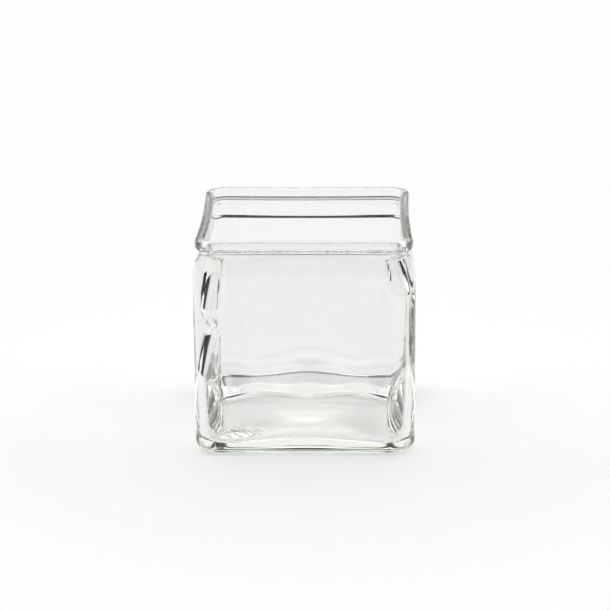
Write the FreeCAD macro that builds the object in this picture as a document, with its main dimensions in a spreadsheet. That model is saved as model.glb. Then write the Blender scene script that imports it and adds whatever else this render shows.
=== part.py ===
"""Square clear-glass specimen jar, open at the top: one glass moulding.

The jar stands on a rounded heel. Its sides rise straight, each a slightly sunken panel between
rounded corners, turn in over a shoulder to a neck, and end in a round bead. The cavity follows
the outside, and closes in towards the floor at the middle of each side, where glass gathers when
such a jar is blown. Towards the back the floor climbs, and under the mouth the cavity steps in
over a slanting ledge, higher at the front. Under the base is a shallow round hollow.
Millimetres, +Z up, origin at the centre of the base where the jar stands.
"""

import FreeCAD, Part
import Sketcher
import math
import os

V = FreeCAD.Vector
UP = V(0, 0, 1)
QUARTER = math.pi / 2

# Driving dimensions: alias, value in millimetres, meaning.
DIMENSIONS = [
    ("height", 102.0, "overall height"),
    ("heel", 4.5, "radius under the outside's lower edge"),
    ("neck_level", 95.2, "height of the narrowest part of the neck"),
    ("neck_inset", 3.3, "how far the neck stands in from the body"),
    ("neck_curve", 1.2, "radius of the neck's hollow"),
    ("bead_inset", 1.3, "how far the bead stands in from the body"),
    ("bead_curve", 2.3, "radius of the bead's outer edges, above and below"),
    ("ring_depth", 9.0, "how far the solid ring reaches in before the mouth is cut"),
    ("lip", 2.1, "radius of the bead's inner upper edge"),
    ("ledge_slant", 3.3, "slant of the ledge under the mouth, in degrees"),
    ("climb_start", 17.0, "how far behind the middle the floor starts to climb"),
    ("climb_curve", 12.0, "radius of the turn where the floor starts to climb"),
    ("climb_angle", 20.0, "how steeply the floor climbs, in degrees"),
    ("climb_end", 47.2, "how far back, and to each side, the climb runs into the walls"),
    ("climb_root", 0.8, "how far the climb reaches down into the floor"),
    ("hollow_rise", 0.35, "rise of the hollow under the base"),
    ("hollow_reach", 19.5, "radius of the hollow under the base"),
]

# Plan sections from the foot up: name, height, half width, inward bow of each side, corner radius.
BODY_SECTIONS = [
    ("foot", 0.0, 51.0, 0.8, 11.5),
    ("panel_low", 12.0, 51.0, 0.9, 11.5),
    ("panel_middle", 50.0, 51.0, 1.7, 11.5),
    ("panel_high", 78.0, 51.0, 0.85, 11.5),
    ("shoulder", 83.0, 51.0, 0.8, 11.5),
]
COVE_SECTIONS = [
    ("floor", 4.2, 40.5, 5.0, 9.0),
    ("curb", 4.6, 43.0, 4.6, 9.0),
    ("cove", 6.2, 45.0, 3.8, 9.0),
    ("sweep", 9.2, 46.2, 3.3, 9.0),
    ("low", 15.0, 46.8, 2.8, 9.0),
]
# Each stretch of the cavity starts at the last section of the stretch below it.
CAVITY_SECTIONS = [
    ("lower", 27.0, 47.2, 2.0, 8.5),
    ("middle", 54.0, 47.3, 2.2, 5.0),
    ("upper", 78.0, 47.5, 1.4, 5.0),
]
THROAT_SECTIONS = [
    ("ledge_foot", 88.3, 47.6, 1.2, 5.2),
    ("ledge_top", 91.5, 45.2, 0.8, 6.0),
    ("mouth", 96.0, 45.1, 0.8, 5.6),
]
ALL_SECTIONS = BODY_SECTIONS + COVE_SECTIONS + CAVITY_SECTIONS + THROAT_SECTIONS
SLANTING = ("ledge_foot", "ledge_top")
SECTION_SIZES = ("level", "half", "bow", "corner")
START, END, CENTRE = 1, 2, 3
ORIGIN, X_AXIS, Y_AXIS = -1, -1, -2


def make_sheet(doc):
    """The spreadsheet of driving dimensions, and the same numbers by alias."""
    rows = list(DIMENSIONS)
    for name, *sizes in ALL_SECTIONS:
        for size, value in zip(SECTION_SIZES, sizes):
            rows.append((f"{name}_{size}", value, f"{size} of the section {name}"))
    sheet = doc.addObject("Spreadsheet::Sheet", "dims")
    for row, (alias, value, meaning) in enumerate(rows, start=1):
        sheet.set(f"A{row}", meaning)
        sheet.set(f"B{row}", str(value))
        sheet.setAlias(f"B{row}", alias)
    doc.recompute()
    return {alias: value for alias, value, _ in rows}


def origin_plane(body, role):
    return next(f for f in body.Origin.OriginFeatures if f.Role == role)


def new_sketch(body, name, role):
    sketch = body.newObject("Sketcher::SketchObject", name)
    sketch.AttachmentSupport = [(origin_plane(body, role), "")]
    sketch.MapMode = "FlatFace"
    return sketch


def dimension(sketch, name, constraint, expression):
    """Adds a constraint under a name and ties its value to the spreadsheet."""
    sketch.renameConstraint(sketch.addConstraint(constraint), name)
    sketch.setExpression(f"Constraints.{name}", f"({expression}) * 1 mm")


def bowed_square(body, section, size, title=None):
    """A plan section: four side arcs that bow inwards, tangent to four corner arcs."""
    half, bow, corner = (size[f"{section}_{s}"] for s in SECTION_SIZES[1:])
    side = ((half - corner) ** 2 + (corner - bow) ** 2 - corner**2) / (2 * bow)
    away = half - bow + side
    corner_at = half - corner
    turn = math.atan2(corner_at, away - corner_at)
    sketch = new_sketch(body, title or f"{section}_section", "XY_Plane")
    if section in SLANTING:
        slant = FreeCAD.Rotation(V(-1, 0, 0), size["ledge_slant"])
        sketch.AttachmentOffset = FreeCAD.Placement(V(0, 0, 0), slant)
        sketch.setExpression("AttachmentOffset.Rotation.Angle", "dims.ledge_slant * 1 deg")
    sketch.setExpression("AttachmentOffset.Base.z", f"dims.{section}_level * 1 mm")
    sides, corners = [], []
    for quarter in range(4):
        spin = FreeCAD.Rotation(UP, 90 * quarter)
        at = quarter * QUARTER
        circle = Part.Circle(spin.multVec(V(away, 0, 0)), UP, side)
        arc = Part.ArcOfCircle(circle, at + math.pi - turn, at + math.pi + turn)
        sides.append(sketch.addGeometry(arc))
        circle = Part.Circle(spin.multVec(V(corner_at, corner_at, 0)), UP, corner)
        arc = Part.ArcOfCircle(circle, at - turn, at + QUARTER + turn)
        corners.append(sketch.addGeometry(arc))
    for quarter in range(4):
        onward = sides[(quarter + 1) % 4]
        sketch.addConstraint(Sketcher.Constraint("Tangent", sides[quarter], START, corners[quarter], START))
        sketch.addConstraint(Sketcher.Constraint("Tangent", corners[quarter], END, onward, END))
        axis = Y_AXIS if quarter % 2 else X_AXIS
        sketch.addConstraint(Sketcher.Constraint("PointOnObject", sides[quarter], CENTRE, axis))
    for other in range(1, 4):
        sketch.addConstraint(Sketcher.Constraint("Equal", sides[0], sides[other]))
        sketch.addConstraint(Sketcher.Constraint("Equal", corners[0], corners[other]))
    half_, bow_, corner_ = (f"dims.{section}_{s}" for s in SECTION_SIZES[1:])
    side_rule = f"(({half_} - {corner_})^2 + ({corner_} - {bow_})^2 - {corner_}^2) / (2 * {bow_})"
    away_rule = f"{half_} - {bow_} + {side_rule}"
    dimension(sketch, "corner_radius", Sketcher.Constraint("Radius", corners[0], corner), corner_)
    dimension(sketch, "side_radius", Sketcher.Constraint("Radius", sides[0], side), side_rule)
    origin = (ORIGIN, START)
    for title, kind, first, second in (
        ("right_centre", "DistanceX", origin, (sides[0], CENTRE)),
        ("back_centre", "DistanceY", origin, (sides[1], CENTRE)),
        ("left_centre", "DistanceX", (sides[2], CENTRE), origin),
        ("front_centre", "DistanceY", (sides[3], CENTRE), origin),
    ):
        dimension(sketch, title, Sketcher.Constraint(kind, *first, *second, away), away_rule)
    return sketch


def loft(body, kind, name, sections, size, straight=False):
    """A solid through the sections, smooth or, when straight, with a crease at each of them."""
    sketches = [bowed_square(body, section[0], size, f"{name}_{section[0]}") for section in sections]
    feature = body.newObject(kind, name)
    feature.Profile = sketches[0]
    feature.Sections = sketches[1:]
    feature.Ruled = straight
    for sketch in sketches:
        sketch.Visibility = False
    return feature


def rim_outline(body, size):
    """The upright outline of shoulder, neck and bead, standing on the body's side.

    Distances across are measured in from the body's side, where it crosses the X axis.
    """
    side = size["shoulder_half"] - size["shoulder_bow"]
    foot = size["shoulder_level"]
    neck, bead = size["neck_curve"], size["bead_curve"]
    rise, inset = size["neck_level"] - foot, size["neck_inset"]
    shoulder = (rise**2 + inset**2 - 2 * neck * inset) / (2 * inset)
    shoulder_at = V(side - shoulder, foot, 0)
    neck_at = V(side - size["neck_inset"] + neck, size["neck_level"], 0)
    across = neck_at.x - (side - size["bead_inset"] - bead)
    bead_low = V(neck_at.x - across, neck_at.y + math.sqrt((neck + bead) ** 2 - across**2), 0)
    bead_high = V(bead_low.x, size["height"] - bead, 0)
    lean = math.atan2(neck_at.y - shoulder_at.y, neck_at.x - shoulder_at.x)
    tuck = math.atan2(bead_low.y - neck_at.y, bead_low.x - neck_at.x)
    sketch = new_sketch(body, "rim_outline", "XZ_Plane")

    def arc(centre, radius, first, last):
        return sketch.addGeometry(Part.ArcOfCircle(Part.Circle(centre, UP, radius), first, last))

    def line(first, last):
        return sketch.addGeometry(Part.LineSegment(first, last))

    inner = side - size["ring_depth"]
    shoulder_arc = arc(shoulder_at, shoulder, 0, lean)
    neck_arc = arc(neck_at, neck, tuck, lean + math.pi)
    bead_low_arc = arc(bead_low, bead, tuck - math.pi, 0)
    upright = line(V(bead_low.x + bead, bead_low.y, 0), V(bead_high.x + bead, bead_high.y, 0))
    bead_high_arc = arc(bead_high, bead, 0, QUARTER)
    top = line(V(bead_high.x, size["height"], 0), V(inner, size["height"], 0))
    inside = line(V(inner, size["height"], 0), V(inner, foot, 0))
    base = line(V(inner, foot, 0), V(side, foot, 0))
    C = Sketcher.Constraint
    for constraint in (
        C("Coincident", base, END, shoulder_arc, START),
        C("PointOnObject", shoulder_arc, CENTRE, base),
        C("Tangent", shoulder_arc, END, neck_arc, END),
        C("Tangent", neck_arc, START, bead_low_arc, START),
        C("Tangent", bead_low_arc, END, upright, START),
        C("Tangent", upright, END, bead_high_arc, START),
        C("Tangent", bead_high_arc, END, top, START),
        C("Coincident", top, END, inside, START),
        C("Coincident", inside, END, base, START),
        C("Horizontal", base),
        C("Horizontal", top),
        C("Vertical", inside),
        C("Vertical", upright),
        C("Equal", bead_low_arc, bead_high_arc),
    ):
        sketch.addConstraint(constraint)
    side_rule = "dims.shoulder_half - dims.shoulder_bow"
    origin = (ORIGIN, START)
    dimension(sketch, "neck_radius", C("Radius", neck_arc, neck), "dims.neck_curve")
    dimension(sketch, "bead_radius", C("Radius", bead_high_arc, bead), "dims.bead_curve")
    neck_rule = f"{side_rule} - dims.neck_inset + dims.neck_curve"
    bead_rule = f"{side_rule} - dims.bead_inset"
    ring_rule = f"{side_rule} - dims.ring_depth"
    for title, kind, point, value, rule in (
        ("side", "DistanceX", (base, END), side, side_rule),
        ("foot_level", "DistanceY", (base, END), foot, "dims.shoulder_level"),
        ("neck_across", "DistanceX", (neck_arc, CENTRE), neck_at.x, neck_rule),
        ("neck_level", "DistanceY", (neck_arc, CENTRE), neck_at.y, "dims.neck_level"),
        ("bead_across", "DistanceX", (upright, START), bead_low.x + bead, bead_rule),
        ("top_level", "DistanceY", (top, START), size["height"], "dims.height"),
        ("ring_inside", "DistanceX", (inside, START), inner, ring_rule),
    ):
        dimension(sketch, title, C(kind, *origin, *point, value), rule)
    return sketch


def hollow_outline(body, size):
    """Half the section of the round hollow under the base, beside the upright axis."""
    rise, reach = size["hollow_rise"], size["hollow_reach"]
    radius = (reach**2 + rise**2) / (2 * rise)
    below = -rise
    sketch = new_sketch(body, "hollow_outline", "XZ_Plane")
    circle = Part.Circle(V(0, rise - radius, 0), UP, radius)
    edge = QUARTER - math.asin(reach / radius)
    roof = sketch.addGeometry(Part.ArcOfCircle(circle, edge, QUARTER))
    axis = sketch.addGeometry(Part.LineSegment(V(0, rise, 0), V(0, below, 0)))
    base = sketch.addGeometry(Part.LineSegment(V(0, below, 0), V(reach, below, 0)))
    side = sketch.addGeometry(Part.LineSegment(V(reach, below, 0), V(reach, 0, 0)))
    C = Sketcher.Constraint
    for constraint in (
        C("Coincident", roof, END, axis, START),
        C("Coincident", axis, END, base, START),
        C("Coincident", base, END, side, START),
        C("Coincident", side, END, roof, START),
        C("PointOnObject", axis, START, Y_AXIS),
        C("PointOnObject", roof, START, X_AXIS),
        C("PointOnObject", roof, CENTRE, Y_AXIS),
        C("Vertical", axis),
        C("Horizontal", base),
        C("Vertical", side),
    ):
        sketch.addConstraint(constraint)
    origin = (ORIGIN, START)
    for title, kind, first, second, value, rule in (
        ("rise", "DistanceY", origin, (axis, START), rise, "dims.hollow_rise"),
        ("reach", "DistanceX", origin, (side, END), reach, "dims.hollow_reach"),
        ("below", "DistanceY", (axis, END), origin, rise, "dims.hollow_rise"),
    ):
        dimension(sketch, title, C(kind, *first, *second, value), rule)
    return sketch


def climb_outline(body, size):
    """The upright section, front to back, of the glass under the climbing part of the floor."""
    start, end, curve = size["climb_start"], size["climb_end"], size["climb_curve"]
    floor, turn = size["floor_level"], math.radians(size["climb_angle"])
    root = floor - size["climb_root"]
    bend = V(start + curve * math.sin(turn), floor + curve * (1 - math.cos(turn)), 0)
    crest = V(end, bend.y + (end - bend.x) * math.tan(turn), 0)
    sketch = new_sketch(body, "climb_outline", "YZ_Plane")
    circle = Part.Circle(V(start, floor + curve, 0), UP, curve)
    bottom = -QUARTER
    arc = sketch.addGeometry(Part.ArcOfCircle(circle, bottom, bottom + turn))
    slope = sketch.addGeometry(Part.LineSegment(bend, crest))
    back = sketch.addGeometry(Part.LineSegment(crest, V(end, root, 0)))
    base = sketch.addGeometry(Part.LineSegment(V(end, root, 0), V(start, root, 0)))
    front = sketch.addGeometry(Part.LineSegment(V(start, root, 0), V(start, floor, 0)))
    C = Sketcher.Constraint
    for constraint in (
        C("Tangent", arc, END, slope, START),
        C("Coincident", slope, END, back, START),
        C("Coincident", back, END, base, START),
        C("Coincident", base, END, front, START),
        C("Coincident", front, END, arc, START),
        C("Vertical", arc, START, arc, CENTRE),
        C("Vertical", back),
        C("Vertical", front),
        C("Horizontal", base),
    ):
        sketch.addConstraint(constraint)
    origin = (ORIGIN, START)
    dimension(sketch, "curve", C("Radius", arc, curve), "dims.climb_curve")
    for title, kind, point, value, rule in (
        ("start", "DistanceX", (arc, START), start, "dims.climb_start"),
        ("end", "DistanceX", (back, END), end, "dims.climb_end"),
        ("floor", "DistanceY", (arc, START), floor, "dims.floor_level"),
        ("root", "DistanceY", (back, END), root, "dims.floor_level - dims.climb_root"),
    ):
        dimension(sketch, title, C(kind, *origin, *point, value), rule)
    sketch.renameConstraint(sketch.addConstraint(C("Angle", slope, turn)), "angle")
    sketch.setExpression("Constraints.angle", "dims.climb_angle * 1 deg")
    return sketch


def fillet(body, name, wanted, alias):
    """Rounds the edges of the body so far that the function wanted picks out."""
    base = body.Tip
    edges = [f"Edge{i}" for i, edge in enumerate(base.Shape.Edges, start=1) if wanted(edge.BoundBox)]
    feature = body.newObject("PartDesign::Fillet", name)
    feature.Base = (base, edges)
    feature.setExpression("Radius", f"dims.{alias} * 1 mm")
    return feature


def finish_step(doc, body, name, adds):
    """Recomputes and makes sure that the feature just made did add, or remove, material."""
    before = finish_step.volume
    doc.recompute()
    change = body.Shape.Volume - before
    if (change > 1.0) != adds or (change < -1.0) == adds:
        raise RuntimeError(f"{name} changed the volume by {change:.1f} mm3")
    finish_step.volume = body.Shape.Volume
    print(f"{name}: {change:+.0f} mm3")


finish_step.volume = 0.0

doc = FreeCAD.newDocument("specimen_jar")
size = make_sheet(doc)
jar = doc.addObject("PartDesign::Body", "glass_jar")
jar.Label = "glass_jar"

loft(jar, "PartDesign::AdditiveLoft", "blank", BODY_SECTIONS, size)
finish_step(doc, jar, "blank", adds=True)

rim = jar.newObject("PartDesign::AdditivePipe", "rim")
rim.Profile = rim_outline(jar, size)
rim.Spine = bowed_square(jar, "shoulder", size, "rim_path")
rim.Mode = "Binormal"
rim.Binormal = UP
jar.Tip = rim
finish_step(doc, jar, "rim", adds=True)

fillet(jar, "heel_round", lambda box: box.ZMax < 0.01, "heel")
finish_step(doc, jar, "heel_round", adds=False)

loft(jar, "PartDesign::SubtractiveLoft", "cove", COVE_SECTIONS, size)
finish_step(doc, jar, "cove", adds=False)

loft(jar, "PartDesign::SubtractiveLoft", "cavity", COVE_SECTIONS[-1:] + CAVITY_SECTIONS, size)
finish_step(doc, jar, "cavity", adds=False)

throat = CAVITY_SECTIONS[-1:] + THROAT_SECTIONS
loft(jar, "PartDesign::SubtractiveLoft", "throat", throat, size, straight=True)
finish_step(doc, jar, "throat", adds=False)

climb = jar.newObject("PartDesign::Pad", "floor_climb")
climb.Profile = climb_outline(jar, size)
climb.SideType = "Symmetric"
climb.setExpression("Length", "dims.climb_end * 2 mm")
finish_step(doc, jar, "floor_climb", adds=True)

mouth = jar.newObject("PartDesign::Pocket", "mouth")
mouth.Profile = bowed_square(jar, "mouth", size, "mouth_outline")
mouth.Reversed = True
mouth.setExpression("Length", "(dims.height - dims.mouth_level + dims.lip) * 1 mm")
finish_step(doc, jar, "mouth", adds=False)

top = size["height"] - 0.01
inside = size["mouth_half"] + 0.1
fillet(jar, "lip_round", lambda box: box.ZMin > top and max(box.XMax, box.YMax) < inside, "lip")
finish_step(doc, jar, "lip_round", adds=False)

hollow = jar.newObject("PartDesign::Groove", "hollow")
hollow.Profile = hollow_outline(jar, size)
hollow.ReferenceAxis = (hollow.Profile[0], ["V_Axis"])
hollow.Angle = 360
finish_step(doc, jar, "hollow", adds=False)

for thing in doc.Objects:
    if any(word in thing.State for word in ("Invalid", "Error")):
        raise RuntimeError(f"{thing.Name} did not compute")
if jar.Shape.isNull() or not jar.Shape.isValid() or len(jar.Shape.Solids) != 1:
    raise RuntimeError("the jar is not one valid solid")

os.makedirs("parts", exist_ok=True)
jar.Shape.exportStep(os.path.join("parts", jar.Label + ".step"))
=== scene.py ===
"""Clear glass specimen jar on a pale floor.

The CAD jar is one piece of glass. Here the same jar is built again as one dense, closed shell,
with the unevenness that moulded glass has, so that it refracts as the real one does.
Lengths are in millimetres until a mesh is written, which is in metres.
"""

import math

import bpy
import numpy as np
from mathutils import Matrix, Vector


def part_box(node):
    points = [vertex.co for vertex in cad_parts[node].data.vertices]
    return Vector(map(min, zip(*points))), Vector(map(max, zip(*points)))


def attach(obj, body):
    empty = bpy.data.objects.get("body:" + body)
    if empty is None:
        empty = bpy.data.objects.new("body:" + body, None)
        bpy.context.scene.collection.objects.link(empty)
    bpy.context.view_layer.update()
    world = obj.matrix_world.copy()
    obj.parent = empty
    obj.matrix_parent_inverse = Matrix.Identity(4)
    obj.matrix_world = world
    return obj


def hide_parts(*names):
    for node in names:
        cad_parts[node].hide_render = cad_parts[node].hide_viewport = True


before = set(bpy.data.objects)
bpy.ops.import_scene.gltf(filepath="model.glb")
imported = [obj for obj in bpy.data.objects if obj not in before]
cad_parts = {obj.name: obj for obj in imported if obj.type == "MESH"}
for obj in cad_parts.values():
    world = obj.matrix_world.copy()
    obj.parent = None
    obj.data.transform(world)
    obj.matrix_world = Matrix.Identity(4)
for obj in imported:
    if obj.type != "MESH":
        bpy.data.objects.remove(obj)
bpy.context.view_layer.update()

MM = 0.001
low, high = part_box("glass_jar")
HALF = (high[0] - low[0]) / 2 / MM
HEIGHT = (high[2] - low[2]) / MM

# ---- Outside, as in the CAD model ----
CORNER = 11.5
HEEL = 4.5
SHOULDER_LEVEL = 83.0
NECK_LEVEL, NECK_INSET, NECK_CURVE = 95.2, 3.3, 1.2
BEAD_INSET, BEAD_CURVE = 1.3, 2.3
LIP = 2.1
MOUTH_HALF, MOUTH_CORNER = 45.1, 5.6
HOLLOW_RISE, HOLLOW_REACH = 0.35, 19.5

# Height, and how far the middle of each outer side is sunk there.
PANEL_BOWS = [
    (0.0, 0.8),
    (12.0, 0.9),
    (50.0, 1.7),
    (82.0, 0.85),
    (87.0, 0.8),
    (102.0, 0.8),
]
LEAST_BOW = 1e-3

# ---- Cavity ----
# Height, half width, how far the sides bow, how far the front bows, corner radius.
CAVITY = [
    (3.6, 39.5, 5.0, 4.6, 9.0),
    (3.9, 42.6, 4.6, 4.4, 9.0),
    (5.0, 45.0, 3.8, 3.8, 9.0),
    (7.3, 46.3, 3.3, 3.3, 9.0),
    (15.0, 46.8, 2.8, 2.8, 9.0),
    (27.0, 47.2, 2.0, 2.0, 8.5),
    (54.0, 47.3, 2.2, 2.2, 5.0),
    (78.0, 47.5, 1.4, 1.4, 5.0),
    (85.6, 47.6, 1.2, 2.1, 5.2),
    (86.4, 47.3, 1.15, 1.9, 5.3),
    (88.4, 45.55, 0.9, 0.6, 5.9),
    (88.9, 45.2, 0.8, 0.4, 6.0),
    (93.0, 45.2, 0.8, 0.8, 6.0),
    (96.0, 45.1, 0.8, 0.8, 5.6),
]
FLOOR_LEVEL, CAVITY_TOP = CAVITY[0][0], CAVITY[-1][0]

# The ledge under the mouth slants: a ring at a level of the first row at the back of the jar
# is at the level below it at the front.
SLANT_FROM = 60.0
LEDGE_BACK = (0.0, SLANT_FROM, 85.6, 88.8, 93.0, 96.0, 99.9)
LEDGE_FRONT = (0.0, SLANT_FROM, 91.0, 94.0, 96.4, 97.6, 99.9)
LEDGE_LOW_FROM, LEDGE_RUN = 30.0, 65.0

# Height, how much thicker the glass is at the front left corner and at the front right corner,
# the width over which that fades, and how far short of the corner it is complete.
CORNER_FILL = [
    (34.0, 0.0, 0.0, 3.4, 5.0),
    (36.0, 0.2, 0.0, 3.4, 5.0),
    (57.0, 5.3, 0.0, 3.4, 5.0),
    (60.0, 5.4, 0.0, 3.4, 5.0),
    (64.0, 3.8, 0.0, 3.6, 5.0),
    (68.0, 2.8, 0.0, 3.8, 5.0),
    (77.0, 4.4, 0.5, 5.0, 4.4),
    (79.0, 4.9, 1.4, 6.0, 4.0),
    (91.0, 7.4, 6.0, 7.5, 4.0),
]

# ---- Cavity floor ----
# It starts to climb to the back along a wavy line, bends over a short run and then climbs straight.
WAVE_MIDDLE, WAVE_SIZE, WAVE_LENGTH = 15.5, -5.0, 46.0
CLIMB_CURVE = 6.0
CLIMB_SLOPE = math.tan(math.radians(20.0))
CLIMB_FADE = 60.0
# It is also crowned from side to side, less so near the front.
CROWN_HEIGHT, CROWN_REACH = 2.4, 42.0
CROWN_AT_FRONT, CROWN_FRONT_EDGE, CROWN_RUN = 0.45, -45.0, 26.0
# Near the front left corner a patch of it is rippled.
PATCH_X, PATCH_Y, PATCH_REACH, PATCH_STRETCH = -31.0, -34.0, 9.0, 1.6
RIPPLE_HEIGHT, RIPPLE_LENGTH, RIPPLE_SLANT, RIPPLE_RAISE = 1.2, 4.5, 0.6, 0.4

# ---- How dense the shell is ----
SIDE_POINTS, CORNER_POINTS = 72, 28
HOLLOW_RINGS, FOOT_RINGS, HEEL_RINGS, WALL_RINGS = 30, 9, 16, 72
SHOULDER_RINGS, NECK_RINGS, BEAD_LOW_RINGS, BEAD_HIGH_RINGS = 20, 12, 12, 14
LIP_RINGS, MOUTH_RINGS, FLOOR_RINGS = 14, 4, 60
# The cavity's rings lie closest at the ledge and in the curve down to the floor.
LEDGE_TOP, LEDGE_FOOT, COVE_TOP = 89.5, 84.0, 15.0
THROAT_RINGS, LEDGE_RINGS, INNER_WALL_RINGS, COVE_RINGS = 8, 30, 60, 40
COVE_SPACING = 0.6

# ---- Studio ----
# Brightness against the sine of the elevation: dark low down, a pale wall, a bright band, the ceiling.
DOME_LEVELS = [(0.0, 0.02), (0.26, 0.02), (0.31, 1.1), (0.44, 1.1),
               (0.50, 2.6), (0.74, 2.6), (0.82, 1.02), (1.0, 1.02)]
# On the camera's side the dome is dark up to a height, as an unlit room is.
ROOM_EDGE = (-0.3, 0.1)
ROOM_TOP = (0.70, 0.78)
FLOOR_HALF = 8.0
FLOOR_GAP = 0.05
FLOOR_WHITE = 0.9
LIGHT_BOUNCES = 24

# ---- Camera ----
ELEVATION, YAW, ROLL = math.radians(17.8), math.radians(1.3), math.radians(-0.4)
AIM = Vector((-0.00059, 0.0, 0.05673))
DISTANCE = 1.1244
SENSOR, LENS = 36.0, 139.6


def ease(fraction):
    """A smooth step: level at 0 and at 1, and clipped outside them."""
    fraction = np.clip(fraction, 0.0, 1.0)
    return fraction * fraction * (3 - 2 * fraction)


def outline(half, bows, corner):
    """Points round a bowed square: four side arcs tangent to four corner arcs.

    bows holds how far the middle of each side is sunk: right, back, left and front.
    """
    centre = half - corner
    arcs = []
    for bow in bows:
        bow = bow if abs(bow) > LEAST_BOW else LEAST_BOW
        radius = (centre**2 + (corner - bow) ** 2 - corner**2) / (2 * bow)
        arcs.append((half - bow + radius, radius, math.asin(centre / (radius + corner))))
    points = []
    for side in range(4):
        away, radius, turn = arcs[side]
        next_turn = arcs[(side + 1) % 4][2]
        along = np.linspace(-turn, turn, SIDE_POINTS, endpoint=False)
        bend = np.linspace(-turn, math.pi / 2 + next_turn, CORNER_POINTS, endpoint=False)
        x = np.concatenate([away - radius * np.cos(along), centre + corner * np.cos(bend)])
        y = np.concatenate([radius * np.sin(along), centre + corner * np.sin(bend)])
        spin = side * math.pi / 2
        points.append(np.stack([x * math.cos(spin) - y * math.sin(spin),
                                x * math.sin(spin) + y * math.cos(spin)], axis=1))
    return np.concatenate(points)


def circle(radius):
    """As many points as outline gives, in the same directions, on a circle."""
    square = outline(10.0, (0.2,) * 4, 2.0)
    angle = np.arctan2(square[:, 1], square[:, 0])
    return radius * np.stack([np.cos(angle), np.sin(angle)], axis=1)


def smooth_table(table, levels):
    """Reads a table of (level, values...) at the levels asked for, along a curve with no overshoot."""
    table = np.array(sorted(table))
    at = table[:, 0]
    values = table[:, 1:]
    rise = np.diff(values, axis=0) / np.diff(at)[:, None]
    slope = np.zeros_like(values)
    slope[0], slope[-1] = rise[0], rise[-1]
    before, after = np.diff(at)[:-1, None], np.diff(at)[1:, None]
    same = rise[:-1] * rise[1:] > 0
    mean = (before + after) * 3 / ((2 * after + before) / np.where(same, rise[:-1], 1)
                                   + (after + 2 * before) / np.where(same, rise[1:], 1))
    slope[1:-1] = np.where(same, mean, 0.0)
    span = np.clip(np.searchsorted(at, levels, side="right") - 1, 0, len(at) - 2)
    width = (at[span + 1] - at[span])[:, None]
    t = (np.asarray(levels) - at[span])[:, None] / width
    return ((2 * t**3 - 3 * t**2 + 1) * values[span] + (t**3 - 2 * t**2 + t) * width * slope[span]
            + (-2 * t**3 + 3 * t**2) * values[span + 1] + (t**3 - t**2) * width * slope[span + 1])


def outside_ring(inset, z):
    """The body's outline at a height, drawn in by inset."""
    bow = smooth_table(PANEL_BOWS, [z])[0, 0]
    return outline(HALF - inset, (bow,) * 4, CORNER - inset)


def arc_points(centre, radius, first, last, count):
    """Points from one angle towards another, in degrees, without the last one."""
    angles = np.radians(np.linspace(first, last, count, endpoint=False))
    return [(centre[0] + radius * math.cos(angle), centre[1] + radius * math.sin(angle)) for angle in angles]


def rim_profile():
    """Inset from the body's side, and height, from the shoulder up over the bead to the mouth."""
    neck_at = (NECK_INSET - NECK_CURVE, NECK_LEVEL)
    rise = NECK_LEVEL - SHOULDER_LEVEL
    shoulder = (rise**2 + NECK_INSET**2 - 2 * NECK_CURVE * NECK_INSET) / (2 * NECK_INSET)
    shoulder_at = (shoulder, SHOULDER_LEVEL)
    bead_x = BEAD_INSET + BEAD_CURVE
    across = bead_x - neck_at[0]
    bead_low = (bead_x, NECK_LEVEL + math.sqrt((NECK_CURVE + BEAD_CURVE) ** 2 - across**2))
    bead_high = (bead_x, HEIGHT - BEAD_CURVE)
    lean = math.degrees(math.atan2(neck_at[1] - shoulder_at[1], neck_at[0] - shoulder_at[0]))
    tuck = math.degrees(math.atan2(bead_low[1] - neck_at[1], bead_low[0] - neck_at[0]))
    points = arc_points(shoulder_at, shoulder, 180, lean, SHOULDER_RINGS)
    points += arc_points(neck_at, NECK_CURVE, lean - 180, tuck, NECK_RINGS)
    points += arc_points(bead_low, BEAD_CURVE, tuck + 180, 180, BEAD_LOW_RINGS)
    points += [(BEAD_INSET, bead_low[1]), (BEAD_INSET, (bead_low[1] + bead_high[1]) / 2)]
    points += arc_points(bead_high, BEAD_CURVE, 180, 90, BEAD_HIGH_RINGS)
    points += [(bead_x, HEIGHT)]
    return points


def slanted(flat, z):
    """The heights of a cavity ring at level z, once the ledge is lower at the back than at the front."""
    front = np.interp(z, LEDGE_BACK, LEDGE_FRONT)
    return z + (front - z) * ease((LEDGE_LOW_FROM - flat[:, 1]) / LEDGE_RUN)


def corner_fill(flat, half, level):
    """Under the ledge the front corners are thick, and they thin out unevenly on the way down."""
    levels, *sizes = np.array(CORNER_FILL).T
    left, right, spread, short = (np.interp(level, levels, size) for size in sizes)
    near = np.abs(flat).sum(axis=1) - half
    weight = ease((near - (half - short - spread)) / spread)
    size = np.where(flat[:, 1] < 0, np.where(flat[:, 0] < 0, left, right), 0.0)
    return flat - np.sign(flat) * (size * weight)[:, None] / math.sqrt(2)


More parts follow.
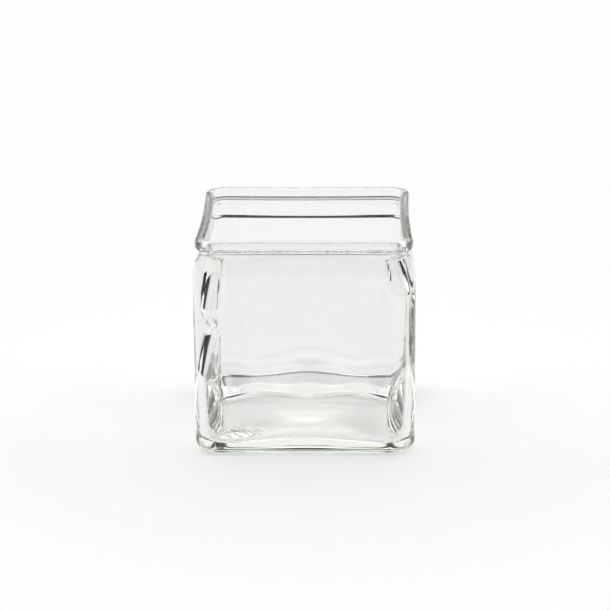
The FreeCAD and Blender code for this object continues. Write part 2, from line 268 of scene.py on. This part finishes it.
def lifted(flat, z):
    """The heights of a ring low in the cavity, with the floor's climb, crown and rippled patch."""
    x, y = flat[:, 0], flat[:, 1]
    edge = WAVE_MIDDLE + WAVE_SIZE * np.cos(2 * math.pi * x / WAVE_LENGTH)
    past = np.maximum(y - edge, 0.0)
    bend = CLIMB_CURVE * CLIMB_SLOPE
    lift = np.where(past < bend, past**2 / (2 * CLIMB_CURVE),
                    bend**2 / (2 * CLIMB_CURVE) + (past - bend) * CLIMB_SLOPE)
    crown = CROWN_AT_FRONT + (1 - CROWN_AT_FRONT) * ease((y - CROWN_FRONT_EDGE) / CROWN_RUN)
    lift += CROWN_HEIGHT * crown * np.cos(np.clip(x / CROWN_REACH, -1, 1) * math.pi / 2) ** 2
    away = np.hypot(x - PATCH_X, (y - PATCH_Y) * PATCH_STRETCH) / PATCH_REACH
    ripple = np.cos(2 * math.pi * (x + RIPPLE_SLANT * y) / RIPPLE_LENGTH)
    lift += RIPPLE_HEIGHT * np.exp(-away**2) * (RIPPLE_RAISE + ripple)
    return z + lift * (1 - ease((z - FLOOR_LEVEL) / CLIMB_FADE))


def ring_at(flat, z):
    """Adds heights to a ring's points: one for all of them, or one for each."""
    return np.column_stack([flat, np.broadcast_to(z, len(flat))])


def underside_rings():
    """The shallow hollow under the base, then the flat foot round it."""
    ball = (HOLLOW_REACH**2 + HOLLOW_RISE**2) / (2 * HOLLOW_RISE)
    rings = []
    for radius in np.linspace(0.0, HOLLOW_REACH, HOLLOW_RINGS)[1:]:
        rings.append(ring_at(circle(radius), HOLLOW_RISE - (ball - math.sqrt(ball**2 - radius**2))))
    foot = outside_ring(HEEL, 0.0)
    for mix in np.linspace(0.0, 1.0, FOOT_RINGS)[1:-1]:
        rings.append(ring_at(circle(HOLLOW_REACH) * (1 - mix) + foot * mix, 0.0))
    return rings


def outside_rings():
    """The rounded heel, the panels, then the shoulder, neck and bead."""
    rings = []
    for angle in np.linspace(0.0, math.pi / 2, HEEL_RINGS, endpoint=False):
        z = HEEL * (1 - math.cos(angle))
        rings.append(ring_at(outside_ring(HEEL * (1 - math.sin(angle)), z), z))
    for z in np.linspace(HEEL, SHOULDER_LEVEL, WALL_RINGS, endpoint=False):
        rings.append(ring_at(outside_ring(0.0, z), z))
    for inset, z in rim_profile():
        rings.append(ring_at(outside_ring(inset, z), z))
    return rings


def mouth_rings():
    """The rounded lip inside the mouth, and the short straight throat under it."""
    bows = (PANEL_BOWS[-1][1],) * 4
    rings = []
    for angle in np.linspace(0.0, math.pi / 2, LIP_RINGS):
        out = LIP * (1 - math.sin(angle))
        flat = outline(MOUTH_HALF + out, bows, MOUTH_CORNER + out)
        rings.append(ring_at(flat, HEIGHT - LIP * (1 - math.cos(angle))))
    for z in np.linspace(HEIGHT - LIP, CAVITY_TOP, MOUTH_RINGS, endpoint=False)[1:]:
        rings.append(ring_at(outline(MOUTH_HALF, bows, MOUTH_CORNER), z))
    return rings


def cavity_rings():
    """From the throat down over the ledge and the walls into the curve at the floor's edge."""
    down = np.linspace(0.0, 1.0, COVE_RINGS) ** COVE_SPACING
    levels = np.concatenate([
        np.linspace(CAVITY_TOP, LEDGE_TOP, THROAT_RINGS, endpoint=False),
        np.linspace(LEDGE_TOP, LEDGE_FOOT, LEDGE_RINGS, endpoint=False),
        np.linspace(LEDGE_FOOT, COVE_TOP, INNER_WALL_RINGS, endpoint=False),
        COVE_TOP + (FLOOR_LEVEL - COVE_TOP) * down,
    ])
    rings = []
    for z, (half, bow, front, corner) in zip(levels, smooth_table(CAVITY, levels)):
        flat = outline(half, (bow, bow, bow, front), corner)
        level = slanted(flat, z)
        below_ledge = np.interp(z, LEDGE_BACK[2:4], (1.0, 0.0))
        flat = flat + (corner_fill(flat, half, level) - flat) * below_ledge
        rings.append(ring_at(flat, lifted(flat, z) if z < SLANT_FROM else level))
    return rings


def floor_rings(edge):
    """The cavity's floor, from its edge in to its middle."""
    rings = []
    for mix in np.linspace(0.0, 1.0, FLOOR_RINGS)[1:-1]:
        flat = edge * (1 - mix)
        rings.append(ring_at(flat, lifted(flat, FLOOR_LEVEL)))
    return rings


def build_shell(name):
    """One closed surface: from the middle of the underside out, up, over the rim and down inside."""
    rings = underside_rings() + outside_rings() + mouth_rings() + cavity_rings()
    rings += floor_rings(rings[-1][:, :2])
    around = len(rings[0])
    middle = np.zeros((1, 2))
    ends = [ring_at(middle, HOLLOW_RISE), ring_at(middle, lifted(middle, FLOOR_LEVEL))]
    points = np.concatenate(rings + ends) * MM
    faces = []
    for ring in range(len(rings) - 1):
        base, up = ring * around, (ring + 1) * around
        for step in range(around):
            onward = (step + 1) % around
            faces.append((base + step, base + onward, up + onward, up + step))
    first, last = len(points) - 2, len(points) - 1
    end = (len(rings) - 1) * around
    for step in range(around):
        onward = (step + 1) % around
        faces.append((first, onward, step))
        faces.append((last, end + step, end + onward))
    mesh = bpy.data.meshes.new(name)
    mesh.from_pydata(points.tolist(), [], faces)
    mesh.update()
    mesh.polygons.foreach_set("use_smooth", [True] * len(mesh.polygons))
    piece = bpy.data.objects.new(name, mesh)
    bpy.context.scene.collection.objects.link(piece)
    return piece


def glass_material():
    """Clear glass: it refracts, and takes on a faint green-grey tint with depth."""
    material = bpy.data.materials.new("clear_glass")
    material.use_nodes = True
    nodes, links = material.node_tree.nodes, material.node_tree.links
    shader = nodes["Principled BSDF"]
    shader.inputs["Base Color"].default_value = (0.935, 0.935, 0.93, 1)
    shader.inputs["Roughness"].default_value = 0.0
    shader.inputs["IOR"].default_value = 1.52
    shader.inputs["Transmission Weight"].default_value = 1.0
    absorb = nodes.new("ShaderNodeVolumeAbsorption")
    absorb.inputs["Color"].default_value = (0.85, 0.88, 0.82, 1)
    absorb.inputs["Density"].default_value = 9.0
    links.new(absorb.outputs["Volume"], nodes["Material Output"].inputs["Volume"])
    return material


def make_stage():
    """A plain white floor, a hair under the jar's foot."""
    level = -FLOOR_GAP * MM
    ends = [(-1, -1), (1, -1), (1, 1), (-1, 1)]
    mesh = bpy.data.meshes.new("floor")
    mesh.from_pydata([(x * FLOOR_HALF, y * FLOOR_HALF, level) for x, y in ends], [], [(0, 1, 2, 3)])
    floor = bpy.data.objects.new("floor", mesh)
    bpy.context.scene.collection.objects.link(floor)
    material = bpy.data.materials.new("floor_white")
    material.use_nodes = True
    shader = material.node_tree.nodes["Principled BSDF"]
    shader.inputs["Base Color"].default_value = (FLOOR_WHITE, FLOOR_WHITE, FLOOR_WHITE, 1)
    shader.inputs["Roughness"].default_value = 1.0
    shader.inputs["Specular IOR Level"].default_value = 0.0
    mesh.materials.append(material)


def map_range(nodes, links, value, span):
    """A node that goes from 0 to 1 as value goes across the span."""
    node = nodes.new("ShaderNodeMapRange")
    node.inputs["From Min"].default_value = span[0]
    node.inputs["From Max"].default_value = span[1]
    links.new(value, node.inputs["Value"])
    return node.outputs["Result"]


def combine(nodes, links, operation, first, second):
    """A maths node of two inputs."""
    node = nodes.new("ShaderNodeMath")
    node.operation = operation
    links.new(first, node.inputs[0])
    links.new(second, node.inputs[1])
    return node.outputs[0]


def make_light():
    """The studio as a dome: a pale wall low down, a bright soft band above it and a dark room in front."""
    world = bpy.data.worlds.new("studio")
    bpy.context.scene.world = world
    world.use_nodes = True
    nodes, links = world.node_tree.nodes, world.node_tree.links
    coordinates = nodes.new("ShaderNodeTexCoord")
    split = nodes.new("ShaderNodeSeparateXYZ")
    links.new(coordinates.outputs["Generated"], split.inputs[0])
    ramp = nodes.new("ShaderNodeValToRGB")
    links.new(split.outputs["Z"], ramp.inputs["Fac"])
    elements = ramp.color_ramp.elements
    while len(elements) < len(DOME_LEVELS):
        elements.new(0.5)
    for element, (at, level) in zip(elements, DOME_LEVELS):
        element.position = at
        element.color = (level, level, level, 1)
    behind = map_range(nodes, links, split.outputs["Y"], ROOM_EDGE)
    above = map_range(nodes, links, split.outputs["Z"], ROOM_TOP)
    lit = combine(nodes, links, "MAXIMUM", behind, above)
    strength = combine(nodes, links, "MULTIPLY", ramp.outputs["Color"], lit)
    links.new(strength, nodes["Background"].inputs["Strength"])
    nodes["Background"].inputs["Color"].default_value = (1, 1, 1, 1)


def make_camera():
    """A long lens, slightly above the rim and almost square to the front."""
    level_out = math.cos(ELEVATION)
    back = Vector((math.sin(YAW) * level_out, -math.cos(YAW) * level_out, math.sin(ELEVATION)))
    level_right = Vector((math.cos(YAW), math.sin(YAW), 0))
    right = level_right * math.cos(ROLL) + back.cross(level_right) * math.sin(ROLL)
    camera_data = bpy.data.cameras.new("camera")
    camera_data.sensor_width = SENSOR
    camera_data.lens = LENS
    camera = bpy.data.objects.new("camera", camera_data)
    matrix = Matrix((right, back.cross(right), back)).transposed().to_4x4()
    matrix.translation = AIM + back * DISTANCE
    camera.matrix_world = matrix
    bpy.context.scene.collection.objects.link(camera)
    bpy.context.scene.camera = camera


def set_light_paths():
    """Glass needs long light paths and sharp reflections."""
    scene = bpy.context.scene
    scene.view_settings.view_transform = "Standard"
    scene.cycles.max_bounces = LIGHT_BOUNCES
    scene.cycles.transmission_bounces = LIGHT_BOUNCES
    scene.cycles.glossy_bounces = LIGHT_BOUNCES
    scene.cycles.blur_glossy = 0.0


jar = build_shell("jar_glass")
jar.data.materials.append(glass_material())
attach(jar, "root")
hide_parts("glass_jar")
make_stage()
make_light()
make_camera()
set_light_paths()
